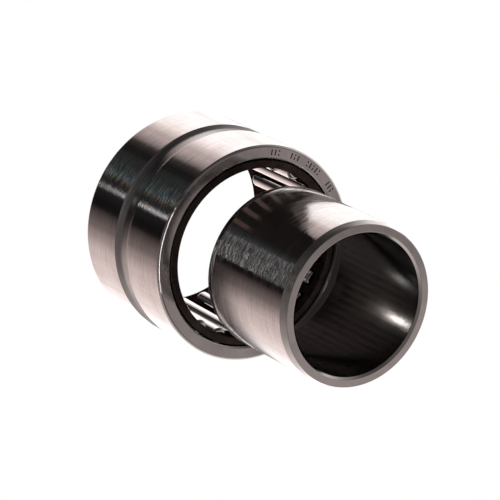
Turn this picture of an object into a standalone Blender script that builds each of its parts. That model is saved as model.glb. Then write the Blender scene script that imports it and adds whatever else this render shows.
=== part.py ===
"""Needle roller bearing with machined rings and a separable inner ring.

The bearing axis is Y, +Z is up and the origin is the centre of the outer
ring.  The outer ring's marked face looks along -Y.  The inner ring is drawn
out of the needle set along -Y and slides back along +Y until the rings are
flush.  Lengths are in metres.
"""
import math

import bmesh
import bpy
from mathutils import Matrix

MM = 0.001

# ---- rings: dimension series 69, bore 30 mm ---------------------------------
BORE_DIA = 30.0 * MM           # shaft bore of the inner ring
OUTSIDE_DIA = 47.0 * MM        # housing seat diameter of the outer ring
WIDTH = 30.0 * MM              # width of both rings
INNER_RACE_DIA = 35.0 * MM     # raceway of the inner ring
OUTER_RACE_DIA = 42.0 * MM     # raceway of the outer ring
RING_GAP = 9.3 * MM            # gap between the rings with the inner one out

OUTER_CHAMFER = 0.55 * MM      # outside corners of the outer ring
FLANGE_BORE_R = 20.50 * MM     # integral flanges beside the outer raceway
FLANGE_MOUTH_R = 20.85 * MM
FLANGE_WIDTH = 2.30 * MM
GROOVE_CENTRE = 0.30 * MM      # lubrication groove, centre line in Y
GROOVE_TOP_W = 5.20 * MM
GROOVE_FLOOR_W = 3.00 * MM
GROOVE_DEPTH = 0.80 * MM
OIL_HOLE_R = 0.95 * MM
OIL_HOLE_ANGLE = math.radians(20.0)

LEAD_LENGTH = 2.06 * MM        # lead-in slopes at both ends of the inner raceway
LEAD_DROP = 0.40 * MM
BORE_CHAMFER = 0.53 * MM

# ---- needle rollers ---------------------------------------------------------
ROLLER_COUNT = 22
ROLLER_R = 1.72 * MM           # 3.5 mm needles less the running clearance
ROLLER_LENGTH = 24.8 * MM
ROLLER_CROWN = 0.45 * MM       # rounded ends
PITCH_R = (INNER_RACE_DIA + OUTER_RACE_DIA) / 4.0
FIRST_ROLLER = math.radians(34.8)

# ---- cage -------------------------------------------------------------------
CAGE_WIDTH = 29.5 * MM
CAGE_IN_R = 18.50 * MM
CAGE_OUT_R = 20.25 * MM
CAGE_WAIST_R = 19.20 * MM      # the bars are thinner between their ends
CAGE_WAIST_HALF = 8.0 * MM
CAGE_WAIST_SLOPE = 1.2 * MM
CAGE_EDGE = 0.15 * MM
POCKET_R = 1.84 * MM           # the pockets hug the needles, so these can't fall in
POCKET_LENGTH = 25.1 * MM
POCKET_STEPS = 20

RING_STEPS = 96
CAGE_STEPS = 88
ROLLER_STEPS = 16
MERGE = 1e-6

for old in list(bpy.data.objects):
    bpy.data.objects.remove(old, do_unlink=True)

parts = bpy.data.collections.new("needle_roller_bearing")
cutters = bpy.data.collections.new("cutters")
for group in (parts, cutters):
    bpy.context.scene.collection.children.link(group)


def material(name, colour, roughness, metallic=1.0):
    mat = bpy.data.materials.new(name)
    mat.use_nodes = True
    shader = mat.node_tree.nodes["Principled BSDF"]
    shader.inputs["Base Color"].default_value = (*colour, 1.0)
    shader.inputs["Roughness"].default_value = roughness
    shader.inputs["Metallic"].default_value = metallic
    mat.diffuse_color = (*colour, 1.0)
    return mat


ring_steel = material("ring_steel", (0.50, 0.48, 0.47), 0.28)
raceway_steel = material("raceway_steel", (0.56, 0.54, 0.53), 0.20)
roller_steel = material("roller_steel", (0.68, 0.65, 0.65), 0.12)
cage_steel = material("cage_steel", (0.055, 0.045, 0.042), 0.45)


def turned(name, profile, steps, mat, collection):
    """A closed (radius, y) profile turned about Y.

    The profile is drawn in the XZ plane at +X, with its height -y, turned
    about Z by a Screw modifier, and laid down so that its height runs
    along -Y.
    """
    mesh = bpy.data.meshes.new(name)
    bm = bmesh.new()
    verts = [bm.verts.new((r, 0.0, -y)) for r, y in profile]
    for a, b in zip(verts, verts[1:] + verts[:1]):
        bm.edges.new((a, b))
    bm.to_mesh(mesh)
    bm.free()
    obj = bpy.data.objects.new(name, mesh)
    collection.objects.link(obj)
    screw = obj.modifiers.new("turn", 'SCREW')
    screw.axis = 'Z'
    screw.angle = 2.0 * math.pi
    screw.steps = steps
    screw.render_steps = steps
    screw.use_merge_vertices = True
    screw.merge_threshold = MERGE
    screw.use_smooth_shade = True
    obj.rotation_euler = (math.pi / 2.0, 0.0, 0.0)
    mesh.materials.append(mat)
    return obj


def smooth(mesh):
    mesh.shade_smooth()
    mesh.set_sharp_from_angle(angle=math.radians(28.0))


def hide(cutter):
    cutter.hide_render = True
    cutter.display_type = 'WIRE'


def cut(obj, cutter, name):
    mod = obj.modifiers.new(name, 'BOOLEAN')
    mod.operation = 'DIFFERENCE'
    mod.solver = 'EXACT'
    mod.object = cutter


# ---- outer ring -------------------------------------------------------------
half = WIDTH / 2.0
outside_r = OUTSIDE_DIA / 2.0
race_r = OUTER_RACE_DIA / 2.0
mouth = FLANGE_MOUTH_R - FLANGE_BORE_R
race_end = half - FLANGE_WIDTH
groove_floor = outside_r - GROOVE_DEPTH

# the front edge is first; each profile runs down the outside and up the bore
outer_profile = [
    (outside_r - OUTER_CHAMFER, -half),
    (outside_r, -half + OUTER_CHAMFER),
    (outside_r, GROOVE_CENTRE - GROOVE_TOP_W / 2.0),
    (groove_floor, GROOVE_CENTRE - GROOVE_FLOOR_W / 2.0),
    (groove_floor, GROOVE_CENTRE + GROOVE_FLOOR_W / 2.0),
    (outside_r, GROOVE_CENTRE + GROOVE_TOP_W / 2.0),
    (outside_r, half - OUTER_CHAMFER),
    (outside_r - OUTER_CHAMFER, half),
    (FLANGE_MOUTH_R, half),
    (FLANGE_BORE_R, half - mouth),
    (FLANGE_BORE_R, race_end),
    (race_r, race_end),
    (race_r, -race_end),
    (FLANGE_BORE_R, -race_end),
    (FLANGE_BORE_R, -half + mouth),
    (FLANGE_MOUTH_R, -half),
]
outer_ring = turned("outer_ring", outer_profile, RING_STEPS, ring_steel, parts)

bpy.ops.mesh.primitive_cylinder_add(
    vertices=16, radius=OIL_HOLE_R, depth=6.0 * MM, end_fill_type='NGON',
    location=(22.0 * MM * math.cos(OIL_HOLE_ANGLE), GROOVE_CENTRE,
              22.0 * MM * math.sin(OIL_HOLE_ANGLE)),
    rotation=(0.0, math.pi / 2.0 - OIL_HOLE_ANGLE, 0.0))
oil_hole = bpy.context.object
oil_hole.name = "oil_hole_cutter"
for group in list(oil_hole.users_collection):
    group.objects.unlink(oil_hole)
cutters.objects.link(oil_hole)
hide(oil_hole)
cut(outer_ring, oil_hole, "oil_hole")

# ---- inner ring -------------------------------------------------------------
inner_y = -(WIDTH + RING_GAP)
inner_race_r = INNER_RACE_DIA / 2.0
bore_r = BORE_DIA / 2.0
inner_profile = [
    (inner_race_r - LEAD_DROP, -half),
    (inner_race_r, -half + LEAD_LENGTH),
    (inner_race_r, half - LEAD_LENGTH),
    (inner_race_r - LEAD_DROP, half),
    (bore_r + BORE_CHAMFER, half),
    (bore_r, half - BORE_CHAMFER),
    (bore_r, -half + BORE_CHAMFER),
    (bore_r + BORE_CHAMFER, -half),
]
inner_ring = turned("inner_ring", inner_profile, RING_STEPS, raceway_steel, parts)
inner_ring.location = (0.0, inner_y, 0.0)

# ---- needle rollers ---------------------------------------------------------
hl = ROLLER_LENGTH / 2.0
shape = bpy.data.meshes.new("needle_roller")
bm = bmesh.new()
bmesh.ops.create_cone(bm, cap_ends=True, segments=ROLLER_STEPS,
                      radius1=ROLLER_R, radius2=ROLLER_R, depth=ROLLER_LENGTH)
bmesh.ops.bevel(
    bm, geom=[e for e in bm.edges
              if abs(e.verts[0].co.z - e.verts[1].co.z) < 1e-7
              and len([f for f in e.link_faces if len(f.verts) > 4]) == 1],
    offset=ROLLER_CROWN, offset_type='OFFSET', segments=1, profile=0.5,
    affect='EDGES')
bm.to_mesh(shape)
bm.free()
shape.materials.append(roller_steel)
smooth(shape)

cage_axis = bpy.data.objects.new("cage_axis", None)
parts.objects.link(cage_axis)
for i in range(ROLLER_COUNT):
    angle = FIRST_ROLLER + i * 2.0 * math.pi / ROLLER_COUNT
    roller = bpy.data.objects.new(f"needle_roller_{i + 1:02d}", shape)
    roller.parent = cage_axis
    roller.location = (PITCH_R * math.cos(angle), 0.0, PITCH_R * math.sin(angle))
    roller.rotation_euler = (math.pi / 2.0, -angle, 0.0)
    parts.objects.link(roller)

# ---- cage -------------------------------------------------------------------
ch = CAGE_WIDTH / 2.0
cage_profile = [
    (CAGE_OUT_R - CAGE_EDGE, -ch),
    (CAGE_OUT_R, -ch + CAGE_EDGE),
    (CAGE_OUT_R, ch - CAGE_EDGE),
    (CAGE_OUT_R - CAGE_EDGE, ch),
    (CAGE_IN_R + CAGE_EDGE, ch),
    (CAGE_IN_R, ch - CAGE_EDGE),
    (CAGE_IN_R, CAGE_WAIST_HALF + CAGE_WAIST_SLOPE),
    (CAGE_WAIST_R, CAGE_WAIST_HALF),
    (CAGE_WAIST_R, -CAGE_WAIST_HALF),
    (CAGE_IN_R, -CAGE_WAIST_HALF - CAGE_WAIST_SLOPE),
    (CAGE_IN_R, -ch + CAGE_EDGE),
    (CAGE_IN_R + CAGE_EDGE, -ch),
]
cage = turned("cage", cage_profile, CAGE_STEPS, cage_steel, parts)

# one cutter holds all the pockets: round bars a little larger than the needles
pockets_mesh = bpy.data.meshes.new("pocket_cutter")
bm = bmesh.new()
for i in range(ROLLER_COUNT):
    angle = FIRST_ROLLER + i * 2.0 * math.pi / ROLLER_COUNT
    place = (Matrix.Rotation(-angle, 4, 'Y')
             @ Matrix.Translation((PITCH_R, 0.0, 0.0))
             @ Matrix.Rotation(math.pi / 2.0, 4, 'X')
             @ Matrix.Rotation(math.pi / POCKET_STEPS, 4, 'Z'))
    bmesh.ops.create_cone(bm, cap_ends=True, segments=POCKET_STEPS,
                          radius1=POCKET_R, radius2=POCKET_R,
                          depth=POCKET_LENGTH, matrix=place)
bm.to_mesh(pockets_mesh)
bm.free()
pockets = bpy.data.objects.new("pocket_cutter", pockets_mesh)
cutters.objects.link(pockets)
hide(pockets)
cut(cage, pockets, "pockets")
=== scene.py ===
"""Looks for the needle roller bearing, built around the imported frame."""
import math

import bmesh
import bpy
from mathutils import Matrix, Vector


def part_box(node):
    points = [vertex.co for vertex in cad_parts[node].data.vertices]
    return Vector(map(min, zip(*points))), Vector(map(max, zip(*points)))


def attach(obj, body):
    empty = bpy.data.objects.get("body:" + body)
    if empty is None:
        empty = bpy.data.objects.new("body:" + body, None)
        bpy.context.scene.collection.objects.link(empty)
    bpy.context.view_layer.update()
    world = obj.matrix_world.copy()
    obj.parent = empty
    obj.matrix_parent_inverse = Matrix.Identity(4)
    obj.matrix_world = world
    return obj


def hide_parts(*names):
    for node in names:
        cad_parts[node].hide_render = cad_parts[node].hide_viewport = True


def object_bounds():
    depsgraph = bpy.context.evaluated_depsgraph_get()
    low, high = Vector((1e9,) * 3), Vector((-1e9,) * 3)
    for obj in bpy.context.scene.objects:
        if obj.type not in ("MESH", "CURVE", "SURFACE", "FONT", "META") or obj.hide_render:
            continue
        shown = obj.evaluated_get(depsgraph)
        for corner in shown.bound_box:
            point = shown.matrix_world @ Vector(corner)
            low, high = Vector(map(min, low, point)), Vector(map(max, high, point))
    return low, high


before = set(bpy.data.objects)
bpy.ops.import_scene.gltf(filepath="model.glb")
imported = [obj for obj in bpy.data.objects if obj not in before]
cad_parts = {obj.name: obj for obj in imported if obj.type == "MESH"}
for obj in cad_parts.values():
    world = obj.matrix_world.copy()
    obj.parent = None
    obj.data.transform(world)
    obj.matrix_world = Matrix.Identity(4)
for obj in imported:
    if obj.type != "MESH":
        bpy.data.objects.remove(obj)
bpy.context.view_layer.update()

MM = 0.001
scene = bpy.context.scene
scene.view_settings.view_transform = 'Standard'
scene.view_settings.look = 'None'

# ----------------------------------------------------------------------------
# camera
# ----------------------------------------------------------------------------
FOCAL_PX = 3487.6
ELEVATION = math.radians(18.94)
YAW = math.radians(31.80)
ROLL = math.radians(-0.67)
FACE_X, FACE_Y = 254.47, 253.55      # where the outer ring's face centre shows
PX_PER_MM = 4.7625


def make_camera():
    depth = FOCAL_PX / PX_PER_MM
    face = Vector(((FACE_X - 250.0) / PX_PER_MM, (FACE_Y - 250.0) / PX_PER_MM, depth))
    up = Vector((0.0, -math.cos(ELEVATION), -math.sin(ELEVATION)))
    forward = Vector((0.0, -math.sin(ELEVATION), math.cos(ELEVATION)))
    right = Vector((1.0, 0.0, 0.0))
    turn = Matrix.Rotation(ROLL, 3, 'Z')
    up, forward, right = turn @ up, turn @ forward, turn @ right
    axis = -math.cos(YAW) * forward + math.sin(YAW) * right
    side = up.cross(axis)
    to_view = Matrix((side, -axis, up)).transposed()   # row frame to view frame
    back = to_view.transposed()
    place = Vector((0.0, -15.0, 0.0)) - back @ face
    cam_x = back @ Vector((1.0, 0.0, 0.0))
    cam_y = back @ Vector((0.0, -1.0, 0.0))
    cam_z = back @ Vector((0.0, 0.0, -1.0))
    data = bpy.data.cameras.new("camera")
    data.sensor_width = 36.0
    data.lens = FOCAL_PX * 36.0 / 500.0
    data.clip_start = 0.01
    data.clip_end = 100.0
    cam = bpy.data.objects.new("camera", data)
    scene.collection.objects.link(cam)
    cam.matrix_world = Matrix((
        (cam_x.x, cam_y.x, cam_z.x, place.x * MM),
        (cam_x.y, cam_y.y, cam_z.y, place.y * MM),
        (cam_x.z, cam_y.z, cam_z.z, place.z * MM),
        (0.0, 0.0, 0.0, 1.0)))
    scene.camera = cam
    return cam


camera = make_camera()

# ----------------------------------------------------------------------------
# node helpers
# ----------------------------------------------------------------------------


class Nodes:
    """Short calls for building a node tree."""

    def __init__(self, tree):
        self.tree = tree
        tree.nodes.clear()

    def new(self, kind, **props):
        node = self.tree.nodes.new(kind)
        for key, value in props.items():
            setattr(node, key, value)
        return node

    def link(self, a, b):
        self.tree.links.new(a, b)

    def math(self, op, a, b=None, c=None, clamp=False):
        node = self.new("ShaderNodeMath", operation=op, use_clamp=clamp)
        for i, value in enumerate((a, b, c)):
            if value is None:
                continue
            if isinstance(value, (int, float)):
                node.inputs[i].default_value = value
            else:
                self.link(value, node.inputs[i])
        return node.outputs[0]

    def ramp(self, fac, stops, mode='LINEAR'):
        node = self.new("ShaderNodeValToRGB")
        node.color_ramp.interpolation = mode
        ramp = node.color_ramp
        while len(ramp.elements) > 1:
            ramp.elements.remove(ramp.elements[-1])
        for i, (at, colour) in enumerate(stops):
            if isinstance(colour, (int, float)):
                colour = (colour, colour, colour)
            e = ramp.elements[0] if i == 0 else ramp.elements.new(at)
            e.position = at
            e.color = (*colour, 1.0)
        self.link(fac, node.inputs[0])
        return node.outputs[0]

    def noise(self, coord, scale, size=(1, 1, 1), detail=3.0, rough=0.5, seed=(0, 0, 0)):
        mapping = self.new("ShaderNodeMapping")
        mapping.inputs["Scale"].default_value = size
        mapping.inputs["Location"].default_value = seed
        self.link(coord, mapping.inputs["Vector"])
        node = self.new("ShaderNodeTexNoise")
        node.inputs["Scale"].default_value = scale
        node.inputs["Detail"].default_value = detail
        node.inputs["Roughness"].default_value = rough
        self.link(mapping.outputs[0], node.inputs["Vector"])
        return node.outputs["Fac"]

    def mix(self, fac, a, b, mode='MIX'):
        node = self.new("ShaderNodeMix", data_type='RGBA', blend_type=mode)
        for slot, value in ((0, fac), (6, a), (7, b)):
            if isinstance(value, (int, float)):
                node.inputs[slot].default_value = value
            elif isinstance(value, tuple):
                node.inputs[slot].default_value = (*value, 1.0)
            else:
                self.link(value, node.inputs[slot])
        return node.outputs[2]


# ----------------------------------------------------------------------------
# studio: a white sweep below, a bright tent behind and above, a dark room
# ----------------------------------------------------------------------------


def linear(v):
    v = v / 255.0
    return v / 12.92 if v <= 0.04045 else ((v + 0.055) / 1.055) ** 2.4


WORLD_GAIN = 2.4
STEEL_MIRRORS = 0.60
# The walls of the rings mirror a cone of directions around +Y.  Each stop is
# the angle around that axis, in degrees from +X towards +Z, the brightness
# that a steel wall shows there, and how warm it is.
TENT = [(0, 246, 2), (10, 234, 4), (30, 247, 2), (48, 250, 1),
        (58, 232, 6), (66, 204, 8), (73, 170, 9), (86, 142, 7), (91, 112, 5),
        (94, 54, 3), (98, 38, 2), (104, 23, 1), (110, 24, 0), (112, 34, -1),
        (130, 46, -4), (139, 58, -4), (144, 40, 0), (162, 25, 0), (172, 16, 1),
        (178, 20, 2), (181, 46, 4), (187, 72, 6), (198, 99, 7), (210, 141, 10), (222, 176, 11),
        (246, 196, 11), (270, 218, 8), (290, 246, 4), (316, 251, 2), (323, 34, 3),
        (335, 34, 3), (342, 248, 2)]
# The same for directions square to the axis: what slopes and edges mirror.
BESIDE = [(0, 212, 3), (20, 186, 3), (40, 130, 3), (60, 80, 3), (90, 46, 2), (110, 38, 1),
          (130, 52, 1), (150, 64, 2), (180, 82, 4), (200, 104, 5), (220, 130, 6),
          (250, 172, 6), (290, 198, 4), (330, 188, 3)]
# The bench in front, by how far a direction is from its darkest place.
BENCH = [(0.0, 54, 2), (0.0105, 73, 3), (0.020, 94, 4), (0.029, 104, 5), (0.036, 128, 6),
         (0.060, 136, 6), (0.15, 136, 6), (0.30, 100, 5), (0.55, 72, 4), (0.80, 60, 3), (1.0, 90, 3)]


def warm(level, warmth):
    """Linear colour of a grey level with its red raised and its blue lowered."""
    return tuple(linear(max(0.0, min(255.0, level + d)))
                 for d in (warmth, -0.35 * warmth, -0.65 * warmth))


def seen(stops, full):
    """Ramp stops for a light that a steel surface shows at the given levels."""
    return [(a / full, tuple(c / STEEL_MIRRORS / WORLD_GAIN for c in warm(v, w)))
            for a, v, w in stops]


def build_world():
    world = bpy.data.worlds.new("studio")
    scene.world = world
    world.use_nodes = True
    n = Nodes(world.node_tree)
    out = n.new("ShaderNodeOutputWorld")
    coord = n.new("ShaderNodeTexCoord")
    way = coord.outputs["Generated"]
    split = n.new("ShaderNodeSeparateXYZ")
    n.link(way, split.inputs[0])
    x, y, z = split.outputs

    def blend(low, high):
        node = n.new("ShaderNodeMapRange", interpolation_type='SMOOTHSTEP')
        node.inputs["From Min"].default_value = low
        node.inputs["From Max"].default_value = high
        n.link(y, node.inputs["Value"])
        return node.outputs[0]

    angle = n.math('DIVIDE', n.math('ARCTAN2', z, x), 2.0 * math.pi)
    turn = n.math('FRACT', n.math('ADD', angle, 1.0))
    behind = n.ramp(turn, seen(TENT, 360.0))
    beside = n.ramp(turn, seen(BESIDE, 360.0))
    # coloured gleam of the dark drape, broken up by the ground surface
    glint = n.new("ShaderNodeTexNoise")
    glint.inputs["Scale"].default_value = 55.0
    glint.inputs["Detail"].default_value = 2.0
    n.link(way, glint.inputs["Vector"])
    hue = n.new("ShaderNodeHueSaturation")
    hue.inputs["Saturation"].default_value = 2.0
    n.link(glint.outputs["Color"], hue.inputs["Color"])
    zone = n.ramp(turn, [(0.0, 0.10), (110.0 / 360.0, 0.15), (122.0 / 360.0, 0.5),
                         (138.0 / 360.0, 1.0), (143.0 / 360.0, 0.1)])
    spots = n.ramp(glint.outputs["Fac"], [(0.38, 0.30), (0.50, 0.7), (0.62, 3.2)])
    tinted = n.mix(1.0, n.mix(0.55, (0.5, 0.5, 0.5), hue.outputs[0]), spots, 'MULTIPLY')
    tinted = n.mix(1.0, tinted, (2.0, 2.05, 2.0), 'MULTIPLY')
    behind = n.mix(zone, behind, n.mix(1.0, behind, tinted, 'MULTIPLY'))
    # in front: a grey bench with two darker rounds in it

    def distance(u, v):
        du, dv = n.math('SUBTRACT', x, u), n.math('SUBTRACT', z, v)
        return n.math('SQRT', n.math('ADD', n.math('MULTIPLY', du, du), n.math('MULTIPLY', dv, dv)))

    before = n.ramp(distance(0.4848, -0.3117), seen(BENCH, 1.0))
    shade = n.ramp(distance(0.531, -0.318), [(0.0, 0.56), (0.012, 0.72), (0.024, 1.0)])
    before = n.mix(1.0, before, shade, 'MULTIPLY')
    room = n.mix(blend(-0.68, -0.45), before, beside)
    room = n.mix(blend(0.58, 0.73), room, behind)
    sky = n.new("ShaderNodeBackground")
    sky.inputs["Strength"].default_value = WORLD_GAIN
    n.link(room, sky.inputs["Color"])
    white = n.new("ShaderNodeBackground")
    white.inputs["Color"].default_value = (1.0, 1.0, 1.0, 1.0)
    white.inputs["Strength"].default_value = 1.0
    path = n.new("ShaderNodeLightPath")
    pick = n.new("ShaderNodeMixShader")
    n.link(path.outputs["Is Camera Ray"], pick.inputs[0])
    n.link(sky.outputs[0], pick.inputs[1])
    n.link(white.outputs[0], pick.inputs[2])
    n.link(pick.outputs[0], out.inputs["Surface"])


build_world()

floor_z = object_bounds()[0][2]
bpy.ops.mesh.primitive_plane_add(size=6.0, location=(0.0, 0.0, floor_z - 0.00005))
floor = bpy.context.object
floor.name = "floor"
floor_mat = bpy.data.materials.new("white_sweep")
floor_mat.use_nodes = True
fn = Nodes(floor_mat.node_tree)
fo = fn.new("ShaderNodeOutputMaterial")
fe = fn.new("ShaderNodeEmission")
fe.inputs["Color"].default_value = (1.0, 1.0, 1.0, 1.0)
fe.inputs["Strength"].default_value = 1.0
fn.link(fe.outputs[0], fo.inputs["Surface"])
floor.data.materials.append(floor_mat)
floor.visible_glossy = False
floor.visible_diffuse = False
floor.visible_shadow = False

# ----------------------------------------------------------------------------
# materials
# ----------------------------------------------------------------------------


def steel(name, colour, rough, brushed, line_scale, line_bump, painted_glint_speckle=0.0,
          stain=0.06, aniso_turn=0.25, hone=0.0, hone_size=(420.0, 1300.0, 420.0),
          hone_rough=0.0, scuffs_and_glints=None, gleam=0.0):
    """Ground steel. The grinding lines run around the bearing axis, and short
    shallow hone marks break up what the surface mirrors.  The scuff list gives how deep
    these marks are (0 to 1) by the angle around the axis in degrees; there the base
    colour also carries painted glints, streaks made brighter and darker, which gleam tints."""
    mat = bpy.data.materials.new(name)
    mat.use_nodes = True
    n = Nodes(mat.node_tree)
    out = n.new("ShaderNodeOutputMaterial")
    bsdf = n.new("ShaderNodeBsdfPrincipled")
    n.link(bsdf.outputs[0], out.inputs["Surface"])
    bsdf.inputs["Metallic"].default_value = 1.0
    bsdf.inputs["Anisotropic"].default_value = brushed
    bsdf.inputs["Anisotropic Rotation"].default_value = aniso_turn
    coord = n.new("ShaderNodeTexCoord").outputs["Object"]
    tangent = n.new("ShaderNodeTangent", direction_type='RADIAL', axis='Y')
    n.link(tangent.outputs[0], bsdf.inputs["Tangent"])
    lines = n.noise(coord, 1.0, (line_scale * 0.03, line_scale, line_scale * 0.03), 4.0, 0.65)
    broad = n.noise(coord, 1.0, (60.0, 900.0, 60.0), 2.0, 0.5, (3.1, 0.7, 1.9))
    cloud = n.noise(coord, 160.0, (1, 1, 1), 3.0, 0.55, (7.0, 2.0, 5.0))
    fine = n.noise(coord, 2600.0, (1, 0.6, 1), 2.0, 0.6, (1.0, 4.0, 2.0))
    # colour: slightly warmer and darker where the surface is stained
    tone = n.ramp(cloud, [(0.30, tuple(c * (1.0 - stain * 1.6) for c in colour)),
                          (0.52, colour),
                          (0.75, tuple(min(1.0, c * (1.0 + stain)) for c in colour))])
    streak = n.ramp(lines, [(0.30, 0.90), (0.50, 1.0), (0.70, 1.0)])
    tone = n.mix(1.0, tone, streak, 'MULTIPLY')
    combed = n.noise(coord, 1.0, (130.0, 1500.0, 130.0), 3.0, 0.6, (2.0, 6.0, 8.0))
    tone = n.mix(1.0, tone, n.ramp(combed, [(0.30, (0.86, 0.87, 0.90)), (0.47, (1.0, 0.985, 0.97)),
                                            (0.56, (0.985, 1.0, 1.02)), (0.72, (1.04, 1.0, 0.97))]), 'MULTIPLY')
    # painted coloured glints: saturated coloured spots mixed into the base colour all over
    if painted_glint_speckle:
        tint = n.new("ShaderNodeTexNoise")
        mp = n.new("ShaderNodeMapping")
        mp.inputs["Scale"].default_value = (500.0, 1500.0, 500.0)
        n.link(coord, mp.inputs["Vector"])
        n.link(mp.outputs[0], tint.inputs["Vector"])
        tint.inputs["Scale"].default_value = 1.0
        tint.inputs["Detail"].default_value = 2.0
        hue = n.new("ShaderNodeHueSaturation")
        hue.inputs["Saturation"].default_value = 1.6
        n.link(tint.outputs["Color"], hue.inputs["Color"])
        spots = n.math('MULTIPLY', n.ramp(fine, [(0.56, 0.0), (0.68, 1.0)]), painted_glint_speckle)
        tone = n.mix(spots, tone, hue.outputs[0], 'SOFT_LIGHT')
    # where the scuff list is deep, painted glints go into the base colour: streaks made brighter and darker, tinted
    # by gleam; the same depths also set the hone-mark bump below
    if scuffs_and_glints:
        around = n.new("ShaderNodeSeparateXYZ")
        n.link(coord, around.inputs[0])
        turn = n.math('DIVIDE', n.math('ARCTAN2', around.outputs[2], around.outputs[0]), 2.0 * math.pi)
        turn = n.math('FRACT', n.math('ADD', turn, 1.0))
        deep = n.ramp(turn, [(a / 360.0, v) for a, v in scuffs_and_glints])
        glint_pattern = n.new("ShaderNodeTexNoise")
        stretch = n.new("ShaderNodeMapping")
        stretch.inputs["Location"].default_value = (3.0, 5.0, 7.0)
        stretch.inputs["Scale"].default_value = (560.0, 2900.0, 560.0)
        n.link(coord, stretch.inputs["Vector"])
        n.link(stretch.outputs[0], glint_pattern.inputs["Vector"])
        glint_pattern.inputs["Scale"].default_value = 1.0
        glint_pattern.inputs["Detail"].default_value = 2.0
        glint_pattern.inputs["Roughness"].default_value = 0.65
        glint_hues = n.new("ShaderNodeHueSaturation")
        glint_hues.inputs["Saturation"].default_value = 2.0
        n.link(glint_pattern.outputs["Color"], glint_hues.inputs["Color"])
        glint_paint = n.ramp(glint_pattern.outputs["Fac"], [(0.36, 0.52), (0.50, 0.92), (0.62, 1.42)])
        glint_tint = n.mix(gleam, (1.0, 1.0, 1.0), n.mix(1.0, glint_hues.outputs[0], (1.85, 2.0, 1.9), 'MULTIPLY'))
        glint_paint = n.mix(1.0, glint_paint, glint_tint, 'MULTIPLY')
        glint_mask = n.math('MULTIPLY', n.math('SUBTRACT', deep, 0.35), 1.6, clamp=True)
        tone = n.mix(glint_mask, tone, n.mix(1.0, tone, glint_paint, 'MULTIPLY'))
    n.link(tone, bsdf.inputs["Base Color"])
    r = n.math('MULTIPLY_ADD', n.math('SUBTRACT', lines, 0.5), rough * 0.9, rough)
    r = n.math('MULTIPLY_ADD', n.math('SUBTRACT', cloud, 0.5), rough * 0.7, r)
    marks = n.noise(coord, 1.0, hone_size, 3.0, 0.65, (5.0, 9.0, 3.0))
    if scuffs_and_glints:
        marks = n.math('MULTIPLY', n.math('SUBTRACT', marks, 0.5), deep)
    if hone:
        rubbed = n.noise(coord, 1.0, tuple(v * 0.8 for v in hone_size), 2.0, 0.6, (8.0, 3.0, 6.0))
        r = n.math('ADD', r, n.math('MULTIPLY', n.ramp(rubbed, [(0.42, 1.0), (0.58, 0.0)]), hone_rough))
    r = n.math('MAXIMUM', r, 0.03)
    n.link(r, bsdf.inputs["Roughness"])
    height = n.math('MULTIPLY_ADD', broad, 0.6, n.math('MULTIPLY_ADD', fine, 0.10, lines))
    bump = n.new("ShaderNodeBump")
    bump.inputs["Strength"].default_value = 1.0
    bump.inputs["Distance"].default_value = line_bump
    n.link(height, bump.inputs["Height"])
    normal = bump.outputs[0]
    if hone:
        scratch = n.new("ShaderNodeBump")
        scratch.inputs["Strength"].default_value = 1.0
        scratch.inputs["Distance"].default_value = hone
        n.link(marks, scratch.inputs["Height"])
        n.link(normal, scratch.inputs["Normal"])
        normal = scratch.outputs[0]
    n.link(normal, bsdf.inputs["Normal"])
    return mat


def dark_steel(name):
    """Phosphated steel: brown-black, softly glossy, slightly mottled."""
    mat = bpy.data.materials.new(name)
    mat.use_nodes = True
    n = Nodes(mat.node_tree)
    out = n.new("ShaderNodeOutputMaterial")
    bsdf = n.new("ShaderNodeBsdfPrincipled")
    n.link(bsdf.outputs[0], out.inputs["Surface"])
    bsdf.inputs["Metallic"].default_value = 1.0
    bsdf.inputs["Specular Tint"].default_value = (0.12, 0.11, 0.11, 1.0)
    coord = n.new("ShaderNodeTexCoord").outputs["Object"]
    cloud = n.noise(coord, 420.0, (1, 1, 1), 4.0, 0.6)
    grain = n.noise(coord, 5200.0, (1, 1, 1), 2.0, 0.6, (4.0, 1.0, 3.0))
    tone = n.ramp(cloud, [(0.28, (0.024, 0.017, 0.016)), (0.5, (0.044, 0.033, 0.031)),
                          (0.72, (0.070, 0.054, 0.050))])
    tone = n.mix(n.ramp(grain, [(0.45, 0.0), (0.75, 0.5)]), tone, (0.10, 0.080, 0.074))
    n.link(tone, bsdf.inputs["Base Color"])
    r = n.math('MULTIPLY_ADD', n.math('SUBTRACT', cloud, 0.5), 0.25, 0.40)
    n.link(r, bsdf.inputs["Roughness"])
    bump = n.new("ShaderNodeBump")
    bump.inputs["Strength"].default_value = 1.0
    bump.inputs["Distance"].default_value = 0.000006
    n.link(n.math('MULTIPLY_ADD', cloud, 1.5, grain), bump.inputs["Height"])
    n.link(bump.outputs[0], bsdf.inputs["Normal"])
    return mat


def etched(name):
    """Laser-etched marks: dark, matt oxide with a little grain."""
    mat = bpy.data.materials.new(name)
    mat.use_nodes = True
    n = Nodes(mat.node_tree)
    out = n.new("ShaderNodeOutputMaterial")
    bsdf = n.new("ShaderNodeBsdfPrincipled")
    n.link(bsdf.outputs[0], out.inputs["Surface"])
    bsdf.inputs["Metallic"].default_value = 1.0
    bsdf.inputs["Specular Tint"].default_value = (0.15, 0.14, 0.14, 1.0)
    coord = n.new("ShaderNodeTexCoord").outputs["Object"]
    grain = n.noise(coord, 9000.0, (1, 1, 1), 3.0, 0.6)
    n.link(n.ramp(grain, [(0.3, (0.030, 0.026, 0.026)), (0.7, (0.075, 0.066, 0.064))]),
           bsdf.inputs["Base Color"])
    n.link(n.math('MULTIPLY_ADD', grain, 0.2, 0.5), bsdf.inputs["Roughness"])
    return mat


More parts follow.
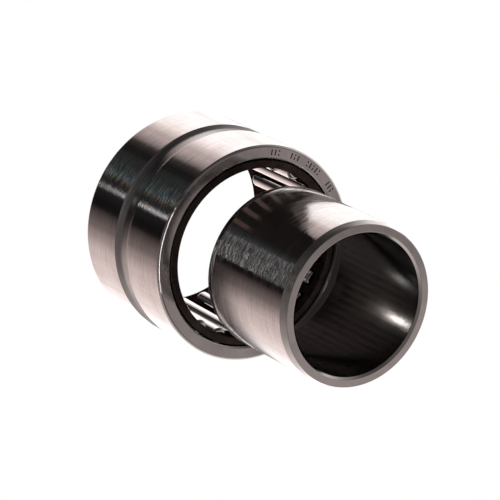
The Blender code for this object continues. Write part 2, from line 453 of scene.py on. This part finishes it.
turned_steel = steel("outer_ring_turned", (0.43, 0.42, 0.415), 0.22, 0.5, 2600.0,
                     0.0000020, stain=0.10)
face_steel = steel("ring_face_ground", (0.60, 0.575, 0.565), 0.13, 0.0, 3000.0,
                   0.0000002, stain=0.04)
lapped_steel = steel("inner_ring_face_lapped", (0.60, 0.575, 0.565), 0.065, 0.0, 3000.0,
                     0.0000002, stain=0.04)
# the bore: the rings' steel with its base colour darkened many times over, painted shade for the shaded bore
bore_steel_painted_shade = steel("inner_ring_bore_painted_shade", (0.026, 0.023, 0.0205), 0.185, 0.15, 3000.0,
                   0.0000010, stain=0.08, hone=0.0000100, hone_size=(1400.0, 1700.0, 1400.0))
# the outer ring's base colour carries painted coloured glints at about 131 to 152 degrees round the axis, and painted
# coloured speckle all over
outer_steel = steel("outer_ring_ground", (0.60, 0.575, 0.565), 0.072, 0.5, 5200.0,
                    0.0000008, painted_glint_speckle=0.5, hone=0.0000300, hone_size=(600.0, 2000.0, 600.0),
                    hone_rough=0.03, scuffs_and_glints=[(0, 0.3), (131, 0.35), (138, 1.0), (147, 1.0), (151, 0.45), (160, 0.3)],
                    gleam=0.34)
# the inner ring's base colour carries painted highlight streaks at about 137 to 162 degrees round the axis, and
# painted coloured speckle all over
inner_steel = steel("inner_ring_honed", (0.60, 0.575, 0.565), 0.070, 0.5, 3600.0,
                    0.0000010, painted_glint_speckle=0.25, hone=0.0000400, hone_size=(260.0, 1250.0, 260.0),
                    hone_rough=0.08, scuffs_and_glints=[(0, 0.08), (134, 0.10), (139, 0.5), (143, 0.9), (152, 1.0), (159, 0.9),
                             (163, 0.2), (180, 0.08)])
roller_steel = steel("needle_polished", (0.74, 0.71, 0.70), 0.07, 0.3, 9000.0,
                     0.0000004, stain=0.03)
cage_steel = dark_steel("cage_phosphated")
mark_dark = etched("etched_mark")

# ----------------------------------------------------------------------------
# turned pieces
# ----------------------------------------------------------------------------


def rounded(points, arc_steps=5):
    """Closed (radius, y) profile with each corner filleted by its own radius."""
    out = []
    count = len(points)
    for i, (r, y, fillet) in enumerate(points):
        here = Vector((r, y))
        before = Vector(points[i - 1][:2])
        after = Vector(points[(i + 1) % count][:2])
        a = (before - here).normalized()
        b = (after - here).normalized()
        if fillet <= 0.0:
            out.append(here)
            continue
        angle = a.angle(b)
        cut = min(fillet / math.tan(angle / 2.0),
                  0.48 * (before - here).length, 0.48 * (after - here).length)
        rad = cut * math.tan(angle / 2.0)
        centre = here + (a + b).normalized() * (rad / math.sin(angle / 2.0))
        start = here + a * cut
        end = here + b * cut
        s = (start - centre)
        e = (end - centre)
        sweep = s.angle(e)
        sign = 1.0 if (s.x * e.y - s.y * e.x) > 0 else -1.0
        guard = min(0.03 * MM, 0.2 * cut + 0.01 * MM)
        if (before - here).length > 2.5 * cut:
            out.append(start + a * guard)
        for k in range(arc_steps + 1):
            t = sign * sweep * k / arc_steps
            out.append(centre + Vector((s.x * math.cos(t) - s.y * math.sin(t),
                                        s.x * math.sin(t) + s.y * math.cos(t))))
        if (after - here).length > 2.5 * cut:
            out.append(end + b * guard)
    return out


def split_long(profile, longest):
    """Extra points on the profile's long straight runs."""
    out = []
    for i, p in enumerate(profile):
        q = profile[(i + 1) % len(profile)]
        out.append(p)
        steps = int((q - p).length / longest)
        for k in range(1, steps + 1):
            out.append(p + (q - p) * (k / (steps + 1)))
    return out


def lathe(name, profile, steps, y_shift=0.0):
    """Turns a closed profile about the Y axis."""
    mesh = bpy.data.meshes.new(name)
    bm = bmesh.new()
    rings = []
    for k in range(steps):
        t = 2.0 * math.pi * k / steps
        c, s = math.cos(t), math.sin(t)
        rings.append([bm.verts.new((p.x * c, p.y + y_shift, p.x * s)) for p in profile])
    count = len(profile)
    for k in range(steps):
        here, there = rings[k], rings[(k + 1) % steps]
        for i in range(count):
            j = (i + 1) % count
            bm.faces.new((here[i], here[j], there[j], there[i]))
    bmesh.ops.recalc_face_normals(bm, faces=bm.faces)
    bm.to_mesh(mesh)
    bm.free()
    mesh.shade_smooth()
    obj = bpy.data.objects.new(name, mesh)
    scene.collection.objects.link(obj)
    return obj


def boolean_cut(obj, cutter):
    """Cuts and applies, then removes the cutter."""
    mod = obj.modifiers.new("cut", 'BOOLEAN')
    mod.operation = 'DIFFERENCE'
    mod.solver = 'EXACT'
    mod.object = cutter
    bpy.context.view_layer.update()
    graph = bpy.context.evaluated_depsgraph_get()
    mesh = bpy.data.meshes.new_from_object(obj.evaluated_get(graph), depsgraph=graph)
    obj.modifiers.clear()
    old = obj.data
    obj.data = mesh
    bpy.data.meshes.remove(old)
    bpy.data.objects.remove(cutter)
    return obj


RING_STEPS = 320

# outer ring: lands, lubrication groove, flanges, relief grooves and raceway
H = 15.0 * MM
G = 0.30 * MM
GROOVE_HALF = 2.6 * MM
GROOVE_DEEP = 0.80 * MM


def groove_points(steps=22):
    """The lubrication groove from its front edge to its back edge: a rounded
    floor that grows steeper towards the edges."""
    out = []
    for k in range(steps + 1):
        u = -GROOVE_HALF + 2.0 * GROOVE_HALF * k / steps
        r = 23.5 * MM - GROOVE_DEEP * (1.0 - abs(u / GROOVE_HALF) ** 4)
        end = k in (0, steps)
        out.append((23.5 * MM if end else r, G + u, 0.12 * MM if end else 0.0))
    return out


outer_points = [(23.5 * MM, -H, 0.60 * MM)] + groove_points() + [
    (23.5 * MM, H, 0.60 * MM),
    (20.85 * MM, H, 0.10 * MM), (20.5 * MM, H - 0.35 * MM, 0.10 * MM),
    (20.5 * MM, 12.7 * MM, 0.06 * MM), (21.0 * MM, 12.7 * MM, 0.12 * MM),
    (21.0 * MM, -12.7 * MM, 0.12 * MM), (20.5 * MM, -12.7 * MM, 0.06 * MM),
    (20.5 * MM, -H + 0.35 * MM, 0.10 * MM), (20.85 * MM, -H, 0.10 * MM),
]
outer_piece = lathe("outer_ring_body", split_long(rounded(outer_points), 2.5 * MM), RING_STEPS)
outer_piece.data.materials.append(outer_steel)

hole_angle = math.radians(20.0)
bpy.ops.mesh.primitive_cylinder_add(
    vertices=48, radius=0.95 * MM, depth=6.0 * MM,
    location=(22.0 * MM * math.cos(hole_angle), G, 22.0 * MM * math.sin(hole_angle)),
    rotation=(0.0, math.pi / 2.0 - hole_angle, 0.0))
boolean_cut(outer_piece, bpy.context.object)
outer_piece.data.set_sharp_from_angle(angle=math.radians(35.0))


def finish_faces(obj, materials, choose):
    """Gives each face the material whose index choose(radius, y, normal) returns."""
    obj.data.materials.clear()
    for m in materials:
        obj.data.materials.append(m)
    for f in obj.data.polygons:
        c = f.center
        r = math.hypot(c.x, c.z)
        out = (f.normal.x * c.x + f.normal.z * c.z) / max(r, 1e-9)
        f.material_index = choose(r, c.y, out)


def outer_zone(r, y, out):
    if abs(y) > 14.985 * MM:
        return 1                                   # ground side faces
    if r < 22.0 * MM and abs(out) > 0.2 and abs(y) < 14.9 * MM:
        return 0 if r > 20.9 * MM else 2           # raceway and flange bores
    if G - 2.58 * MM < y < G + 2.58 * MM and r < 23.48 * MM:
        return 2                                   # lubrication groove and oil hole
    return 0


finish_faces(outer_piece, (outer_steel, face_steel, turned_steel), outer_zone)

# inner ring
iy = sum(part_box("inner_ring")[i][1] for i in (0, 1)) / 2.0
inner_points = [
    (17.1 * MM, -H, 0.14 * MM), (17.5 * MM, -H + 2.06 * MM, 0.5 * MM),
    (17.5 * MM, H - 2.06 * MM, 0.5 * MM), (17.1 * MM, H, 0.14 * MM),
    (15.53 * MM, H, 0.12 * MM), (15.0 * MM, H - 0.53 * MM, 0.14 * MM),
    (15.0 * MM, -H + 0.53 * MM, 0.14 * MM), (15.53 * MM, -H, 0.12 * MM),
]
inner_piece = lathe("inner_ring_body", split_long(rounded(inner_points), 2.5 * MM),
                    RING_STEPS, iy)


def inner_zone(r, y, out):
    if abs(y - iy) > 14.985 * MM:
        return 1
    if r < 15.2 * MM and abs(y - iy) < 14.6 * MM:
        return 2
    return 0


finish_faces(inner_piece, (inner_steel, lapped_steel, bore_steel_painted_shade), inner_zone)

# ----------------------------------------------------------------------------
# needle rollers: cylinders with rounded, slightly domed ends
# ----------------------------------------------------------------------------
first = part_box("needle_roller_01")
c1 = (first[0] + first[1]) / 2.0
FIRST = math.atan2(c1.z, c1.x)
PITCH = math.hypot(c1.x, c1.z)
COUNT = sum(1 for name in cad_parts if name.startswith("needle_roller_"))
R = 1.72 * MM
L = 12.4 * MM


def needle_mesh():
    half = [(0.0, L - 0.02 * MM)]
    half += [(r * MM, L - (0.02 + 0.03 * (r / 1.15) ** 2) * MM) for r in (0.35, 0.7, 1.0, 1.15)]
    for k in range(1, 9):
        t = math.radians(90.0 * k / 8.0)
        half.append((1.15 * MM + 0.57 * MM * math.sin(t), L - 0.05 * MM - 0.60 * MM * (1.0 - math.cos(t))))
    body = [(R, L - 0.70 * MM), (R, L - 3.0 * MM), (R, 4.0 * MM)]
    pts = half + body
    pts += [(r, -y) for r, y in reversed(pts)]
    mesh = bpy.data.meshes.new("needle")
    bm = bmesh.new()
    steps = 56
    poles = [bm.verts.new((0.0, pts[0][1], 0.0)), bm.verts.new((0.0, pts[-1][1], 0.0))]
    inner = pts[1:-1]
    rings = []
    for k in range(steps):
        t = 2.0 * math.pi * k / steps
        rings.append([bm.verts.new((r * math.cos(t), y, r * math.sin(t))) for r, y in inner])
    for k in range(steps):
        a, b = rings[k], rings[(k + 1) % steps]
        bm.faces.new((poles[0], a[0], b[0]))
        bm.faces.new((poles[1], b[-1], a[-1]))
        for i in range(len(inner) - 1):
            bm.faces.new((a[i], a[i + 1], b[i + 1], b[i]))
    bmesh.ops.recalc_face_normals(bm, faces=bm.faces)
    bm.to_mesh(mesh)
    bm.free()
    mesh.shade_smooth()
    mesh.materials.append(roller_steel)
    return mesh


needles = []
shape = needle_mesh()
for i in range(COUNT):
    angle = FIRST + i * 2.0 * math.pi / COUNT
    obj = bpy.data.objects.new(f"needle_{i + 1:02d}", shape)
    obj.location = (PITCH * math.cos(angle), 0.0, PITCH * math.sin(angle))
    obj.rotation_euler = (0.0, -angle, 0.0)
    scene.collection.objects.link(obj)
    needles.append(obj)

# ----------------------------------------------------------------------------
# cage: end rims, thinner bar middles and pockets that hug the needles
# ----------------------------------------------------------------------------
CH = 14.75 * MM
cage_points = [
    (20.05 * MM, -CH, 0.12 * MM), (20.25 * MM, -CH + 0.20 * MM, 0.12 * MM),
    (20.25 * MM, CH - 0.20 * MM, 0.12 * MM), (20.05 * MM, CH, 0.12 * MM),
    (18.68 * MM, CH, 0.12 * MM), (18.5 * MM, CH - 0.18 * MM, 0.12 * MM),
    (18.5 * MM, 9.4 * MM, 0.5 * MM), (19.15 * MM, 8.4 * MM, 0.5 * MM),
    (19.15 * MM, -8.4 * MM, 0.5 * MM), (18.5 * MM, -9.4 * MM, 0.5 * MM),
    (18.5 * MM, -CH + 0.18 * MM, 0.12 * MM), (18.68 * MM, -CH, 0.12 * MM),
]
cage_piece = lathe("cage_body", rounded(cage_points), 352)


def pocket_cutter():
    """All the pockets in one mesh: round bars a little larger than the needles."""
    mesh = bpy.data.meshes.new("pockets")
    bm = bmesh.new()
    rad = 1.84 * MM
    y0, y1 = -12.95 * MM, 12.65 * MM
    steps = 32
    for i in range(COUNT):
        angle = FIRST + i * 2.0 * math.pi / COUNT
        ca, sa = math.cos(angle), math.sin(angle)
        loops = []
        for y, q in ((y0, rad - 0.35 * MM), (y0 + 0.35 * MM, rad), (y1 - 0.35 * MM, rad), (y1, rad - 0.35 * MM)):
            loop = []
            for k in range(steps):
                t = 2.0 * math.pi * k / steps
                u, v = q * math.cos(t), q * math.sin(t)
                loop.append(bm.verts.new(((PITCH + u) * ca - v * sa, y, (PITCH + u) * sa + v * ca)))
            loops.append(loop)
        for a, b in zip(loops, loops[1:]):
            for k in range(steps):
                j = (k + 1) % steps
                bm.faces.new((a[k], a[j], b[j], b[k]))
        bm.faces.new(loops[0][::-1])
        bm.faces.new(loops[-1])
    bmesh.ops.recalc_face_normals(bm, faces=bm.faces)
    bm.to_mesh(mesh)
    bm.free()
    obj = bpy.data.objects.new("pockets", mesh)
    scene.collection.objects.link(obj)
    return obj


boolean_cut(cage_piece, pocket_cutter())
cage_piece.data.materials.clear()
cage_piece.data.materials.append(cage_steel)
cage_piece.data.shade_smooth()
cage_piece.data.set_sharp_from_angle(angle=math.radians(32.0))

# ----------------------------------------------------------------------------
# generic etched marks on the outer ring's front face
# ----------------------------------------------------------------------------


def etched_marks():
    """A run of small bars and dots, etched on the face along an arc."""
    mesh = bpy.data.meshes.new("etched_marks")
    bm = bmesh.new()
    r0 = 21.95 * MM
    y_out, y_in = -H - 0.004 * MM, -H + 0.02 * MM

    def block(angle, width, height, shift=0.0):
        ca, sa = math.cos(angle), math.sin(angle)
        cx, cz = (r0 + shift) * ca, (r0 + shift) * sa
        corners = []
        for y in (y_out, y_in):
            for du, dv in ((-1, -1), (1, -1), (1, 1), (-1, 1)):
                u, v = du * height / 2.0, dv * width / 2.0
                corners.append(bm.verts.new((cx + u * ca - v * sa, y, cz + u * sa + v * ca)))
        a, b, c, d, e, f, g, h = corners
        for quad in ((a, b, c, d), (h, g, f, e), (a, e, f, b), (b, f, g, c), (c, g, h, d), (d, h, e, a)):
            bm.faces.new(quad)

    def dot(angle, shift=0.0):
        block(angle, 0.34 * MM, 0.34 * MM, shift)

    deg = math.radians
    plan = [
        (78.0, "bar"), (75.6, "bar"), (73.2, "dots"),
        (64.5, "bar"), (62.1, "half"), (59.7, "bar"),
        (52.5, "dots"), (50.1, "bar"), (47.7, "half"), (45.3, "bar"), (42.9, "dots"),
        (33.5, "bar"), (31.1, "bar"), (28.7, "half"),
    ]
    for at, kind in plan:
        if kind == "bar":
            block(deg(at), 0.30 * MM, 1.25 * MM)
        elif kind == "half":
            block(deg(at), 0.30 * MM, 0.58 * MM, -0.32 * MM)
            dot(deg(at), 0.40 * MM)
        else:
            dot(deg(at), -0.42 * MM)
            dot(deg(at), 0.42 * MM)
    bmesh.ops.recalc_face_normals(bm, faces=bm.faces)
    bm.to_mesh(mesh)
    bm.free()
    obj = bpy.data.objects.new("etched_marks", mesh)
    scene.collection.objects.link(obj)
    obj.data.materials.append(mark_dark)
    return obj


marks = etched_marks()

# ----------------------------------------------------------------------------
# ties to the frame
# ----------------------------------------------------------------------------
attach(outer_piece, "outer_ring")
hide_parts("outer_ring")
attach(marks, "outer_ring")
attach(inner_piece, "inner_ring")
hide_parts("inner_ring")
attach(cage_piece, "cage")
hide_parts("cage")
for i, obj in enumerate(needles):
    body = f"needle_roller_{i + 1:02d}"
    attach(obj, body)
    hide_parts(body)

# ----------------------------------------------------------------------------
# small lamps and the card of painted reflections between the rings
# ----------------------------------------------------------------------------


def lit_only(lamp, *pieces):
    """Limits a lamp to some pieces."""
    group = bpy.data.collections.new(lamp.name + "_lights")
    for piece in pieces:
        group.objects.link(piece)
    lamp.light_linking.receiver_collection = group


def area_lamp(name, place, way, across, along, radiance):
    """A rectangular lamp at place that shines back along way; across sets its width."""
    data = bpy.data.lights.new(name, 'AREA')
    data.shape = 'RECTANGLE'
    data.size = across[1]
    data.size_y = along
    data.energy = radiance * math.pi * across[1] * along
    lamp = bpy.data.objects.new(name, data)
    scene.collection.objects.link(lamp)
    lamp.visible_camera = False
    z = way.normalized()                    # a lamp shines along its own -Z
    u = (across[0] - z * across[0].dot(z)).normalized()
    v = z.cross(u)
    lamp.matrix_world = Matrix((
        (u.x, v.x, z.x, place.x),
        (u.y, v.y, z.y, place.y),
        (u.z, v.z, z.z, place.z),
        (0.0, 0.0, 0.0, 1.0)))
    return lamp


def cone_lamp(name, angle, wide, high, radiance, half=36.9, reach=1.5):
    """A lamp on the cone of directions that the ring walls mirror; sizes in degrees."""
    a, h = math.radians(angle), math.radians(half)
    way = Vector((math.sin(h) * math.cos(a), math.cos(h), math.sin(h) * math.sin(a)))
    around = Vector((-math.sin(a), 0.0, math.cos(a)))
    width = reach * math.sin(h) * math.radians(wide)
    return area_lamp(name, way * reach, way, (around, width), reach * math.radians(high), radiance)


streak = cone_lamp("streak_lamp", 154.8, 4.0, 1.6, 1.8)
lit_only(streak, outer_piece)
streak_soft = cone_lamp("streak_soft_lamp", 154.4, 8.0, 1.6, 0.35)
lit_only(streak_soft, outer_piece)
for tag, angle, wide, colour, radiance in (("a", 141.5, 3.0, (1.0, 0.72, 0.30), 0.95),
                                           ("b", 138.0, 3.0, (0.30, 0.80, 1.0), 1.15),
                                           ("c", 133.5, 3.5, (0.40, 1.0, 0.62), 0.50),
                                           ("d", 129.5, 3.5, (0.60, 0.60, 1.0), 0.28)):
    gleam = cone_lamp("gleam_lamp_" + tag, angle, wide, 0.7, radiance)
    gleam.data.color = colour
    lit_only(gleam, outer_piece)
haze = cone_lamp("haze_lamp", 159.5, 22.0, 0.8, 1.5, half=38.0)
lit_only(haze, inner_piece)
haze_edge = cone_lamp("haze_edge_lamp", 142.5, 11.0, 0.8, 0.85, half=38.0)
lit_only(haze_edge, inner_piece)
edge_way = Vector((-0.444, -0.889, -0.072))
edge = area_lamp("edge_lamp", edge_way * 1.0 + Vector((0.0, 0.0, -0.04)), edge_way,
                 (Vector((0.889, -0.444, 0.0)), 0.085), 0.86, 9.0)
lit_only(edge, outer_piece)
for tag, place, spark_way, size, radiance in (
        ("a", (-8.6, -20.0, 2.7), (-0.577, 0.775, 0.257), (1.9, 1.8), 210.0),
        ("b", (-2.6, -20.0, -12.7), (-0.505, 0.775, -0.380), (2.6, 2.6), 7.5)):
    spark = area_lamp("spark_lamp_" + tag, Vector(place) * MM, Vector(spark_way),
                      (Vector((0.0, 0.0, 1.0)), size[0] * MM), size[1] * MM, radiance)
    lit_only(spark, inner_piece)


def painted_reflection_card():
    """A thin card with a round hole, round the gap, that only the inner ring mirrors: its glow paints dark
    reflections there, with painted reflections of the needles and of the outer ring's face.
    """
    mesh = bpy.data.meshes.new("painted_reflection_card")
    bm = bmesh.new()
    steps = 180
    loops = []
    for r in (23.7 * MM, 50.0 * MM):
        loops.append([bm.verts.new((r * math.cos(2 * math.pi * k / steps), -15.25 * MM,
                                    r * math.sin(2 * math.pi * k / steps))) for k in range(steps)])
    for k in range(steps):
        j = (k + 1) % steps
        bm.faces.new((loops[0][k], loops[0][j], loops[1][j], loops[1][k]))
    bm.to_mesh(mesh)
    bm.free()
    card = bpy.data.objects.new("painted_reflection_card", mesh)
    scene.collection.objects.link(card)
    mat = bpy.data.materials.new("painted_reflection_card")
    mat.use_nodes = True
    n = Nodes(mat.node_tree)
    out = n.new("ShaderNodeOutputMaterial")
    coord = n.new("ShaderNodeTexCoord").outputs["Object"]
    split = n.new("ShaderNodeSeparateXYZ")
    n.link(coord, split.inputs[0])
    x, y, z = split.outputs
    r = n.math('SQRT', n.math('ADD', n.math('MULTIPLY', x, x), n.math('MULTIPLY', z, z)))
    r = n.math('MULTIPLY', r, 1.0 / (50.0 * MM))
    turn = n.math('FRACT', n.math('ADD', n.math('DIVIDE', n.math('ARCTAN2', z, x), 2.0 * math.pi), 1.0))

    def round_ramp(stops, full=1.0):
        return n.ramp(turn, [(a / 360.0, v / full) for a, v in stops])

    def step(value, at, soft):
        """0 below at, 1 above it, over soft millimetres."""
        gap = n.math('SUBTRACT', value, at)
        return n.math('MULTIPLY_ADD', gap, 50.0 / soft, 0.5, clamp=True)

    edge_out = round_ramp([(0, 27.8), (38, 28.4), (68, 31.4), (84, 36.7), (101, 41.5), (107, 50.0)], 50.0)
    edge_in = round_ramp([(0, 24.2), (43, 24.6), (70, 29.1), (87, 31.9), (100, 41.4), (107, 50.0)], 50.0)
    # painted reflections: bars like the needles, the grey of the ring's face, then nothing
    wave = n.math('SINE', n.math('MULTIPLY', turn, 2.0 * math.pi * 26.0))
    bars_end = round_ramp([(0, 25.6), (50, 25.8), (75, 27.2), (100, 29.0), (135, 30.4)], 50.0)
    bars = n.math('MULTIPLY', n.ramp(wave, [(0.0, 0.0), (0.20, 0.0), (0.75, 1.0)]),
                  n.math('SUBTRACT', 1.0, step(r, bars_end, 0.8)))
    bars = n.math('MULTIPLY', bars, round_ramp([(0, 0.1), (50, 0.3), (75, 1.0), (128, 1.0), (138, 0.0)]))
    dark = n.mix(1.0, (0.010, 0.0085, 0.008),
                 round_ramp([(0, 4.5), (50, 4.0), (75, 1.2), (100, 0.9), (175, 2.5), (300, 4.0)]), 'MULTIPLY')
    dark = n.mix(bars, dark, (0.092, 0.064, 0.056))
    rim = n.mix(1.0, (0.235, 0.196, 0.190),
                round_ramp([(0, 1.0), (50, 1.0), (70, 0.5), (87, 0.32), (100, 0.08)]), 'MULTIPLY')
    dark = n.mix(step(r, edge_in, 1.0), dark, rim)
    glow = n.new("ShaderNodeEmission")
    n.link(dark, glow.inputs["Color"])
    clear = n.new("ShaderNodeBsdfTransparent")
    upper = n.math('SUBTRACT', 1.0, step(r, edge_out, 0.5))
    lower = n.ramp(r, [(25.3 / 50.0, 0.93), (27.5 / 50.0, 0.74), (30.5 / 50.0, 0.22), (33.5 / 50.0, 0.0)])
    keep = n.mix(round_ramp([(0, 0.0), (140, 0.0), (172, 1.0), (335, 1.0), (350, 0.0)]), upper, lower)
    keep = n.math('MULTIPLY', keep, round_ramp([(0, 1.0), (131, 1.0), (138, 0.10), (166, 0.10), (175, 1.0)]))
    # the card is clear from behind
    keep = n.math('MULTIPLY', keep, n.new("ShaderNodeNewGeometry").outputs["Backfacing"])
    pick = n.new("ShaderNodeMixShader")
    n.link(keep, pick.inputs[0])
    n.link(clear.outputs[0], pick.inputs[1])
    n.link(glow.outputs[0], pick.inputs[2])
    n.link(pick.outputs[0], out.inputs["Surface"])
    card.data.materials.append(mat)
    card.visible_camera = False
    card.visible_diffuse = False
    card.visible_shadow = False
    card.visible_transmission = False
    return card


painted_reflection_card()


def face_dark_reflection_flag():
    """A small dark flag that only reflections see: it paints a dark reflection on the lower right of the outer ring's
    face.
    """
    mesh = bpy.data.meshes.new("face_dark_reflection_flag")
    bm = bmesh.new()
    inner, outer = [], []
    for k in range(41):
        a = math.radians(-101.0 + 3.0 * k)
        for r, row in ((19.4, inner), (23.6, outer)):
            row.append(bm.verts.new(((r * math.cos(a) + 2.6) * MM, -19.0 * MM,
                                     (r * math.sin(a) - 1.5) * MM)))
    for k in range(40):
        bm.faces.new((inner[k], inner[k + 1], outer[k + 1], outer[k]))
    bm.to_mesh(mesh)
    bm.free()
    flag = bpy.data.objects.new("face_dark_reflection_flag", mesh)
    scene.collection.objects.link(flag)
    mat = bpy.data.materials.new("face_dark_reflection_flag")
    mat.use_nodes = True
    n = Nodes(mat.node_tree)
    out = n.new("ShaderNodeOutputMaterial")
    glow = n.new("ShaderNodeEmission")
    glow.inputs["Color"].default_value = (0.026, 0.022, 0.021, 1.0)
    # its ends fade out, and it is clear from in front
    coord = n.new("ShaderNodeTexCoord").outputs["Object"]
    split = n.new("ShaderNodeSeparateXYZ")
    n.link(coord, split.inputs[0])
    angle = n.math('ARCTAN2', n.math('ADD', split.outputs[2], 1.5 * MM),
                   n.math('SUBTRACT', split.outputs[0], 2.6 * MM))
    part = n.math('MULTIPLY_ADD', angle, 180.0 / math.pi / 130.0, 100.0 / 130.0)
    keep = n.ramp(part, [(0.0, 0.0), (44.0 / 130.0, 1.0), (92.0 / 130.0, 1.0), (118.0 / 130.0, 0.0)],
                  'EASE')
    keep = n.math('MULTIPLY', keep, n.math('SUBTRACT', 1.0, n.new("ShaderNodeNewGeometry").outputs["Backfacing"]))
    clear = n.new("ShaderNodeBsdfTransparent")
    pick = n.new("ShaderNodeMixShader")
    n.link(keep, pick.inputs[0])
    n.link(clear.outputs[0], pick.inputs[1])
    n.link(glow.outputs[0], pick.inputs[2])
    n.link(pick.outputs[0], out.inputs["Surface"])
    flag.data.materials.append(mat)
    flag.visible_camera = False
    flag.visible_diffuse = False
    flag.visible_shadow = False
    flag.visible_transmission = False
    return flag


face_dark_reflection_flag()
